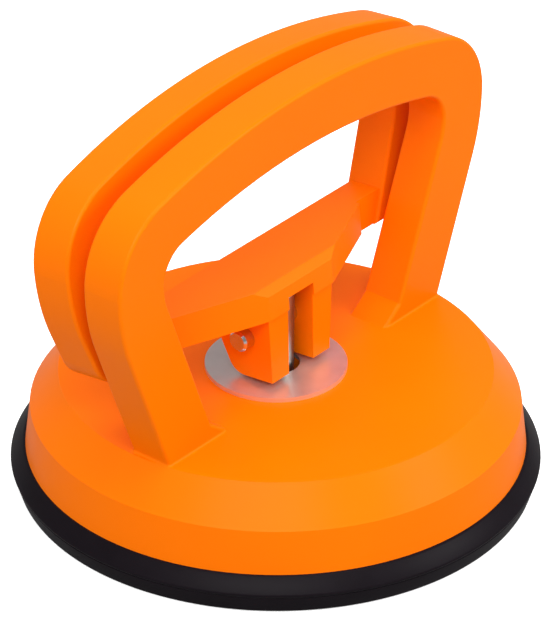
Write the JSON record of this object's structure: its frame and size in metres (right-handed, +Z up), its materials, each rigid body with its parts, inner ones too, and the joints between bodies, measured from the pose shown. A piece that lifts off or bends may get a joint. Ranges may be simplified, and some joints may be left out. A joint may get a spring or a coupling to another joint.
{
  "type": "vacuum suction cup",
  "caption": "Hand suction cup: a rubber pad under a round housing with a fixed grip; squeezing the swinging lever's cam legs draws the pad up to hold smooth flat sheet.",
  "frame": {"origin": "cup axis at the sealing face, where the pad stands", "axes": "+Z up out of the cup, X along the grips and the cross pin, +Y from the fixed grip to the lever"},
  "size_m": [0.1238, 0.118, 0.0982],
  "materials": {
    "orange_abs": "satin moulded",
    "steel": "zinc plated",
    "polished_steel": "polished",
    "black_rubber": "moulded"
  },
  "bodies": {
    "cup": {"housing": "orange_abs", "thrust_washer": "polished_steel", "rubber_pad": "black_rubber", "spring_seat": "steel", "return_spring": "steel"},
    "draw": {"draw_stud": "steel", "insert_disc": "steel", "jam_nut": "steel"},
    "grip_lever": {"lever": "orange_abs", "cross_pin": "steel"}
  },
  "joints": [
    {"name": "stud_lift", "type": "slide", "parent": "cup", "child": "draw", "axis": [0, 0, 1], "range_m": [-0.0022, 0.0002], "deforming": ["return_spring", "rubber_pad"]},
    {"name": "lever_swing", "type": "hinge", "parent": "draw", "child": "grip_lever", "pos_m": [0, 0, 0.0387], "axis": [1, 0, 0], "range_deg": [-65.6, 5.7]}
  ],
  "couplings": [
    {"joint": "stud_lift", "follows": "lever_swing", "m_per_rad": 0.0019}
  ]
}
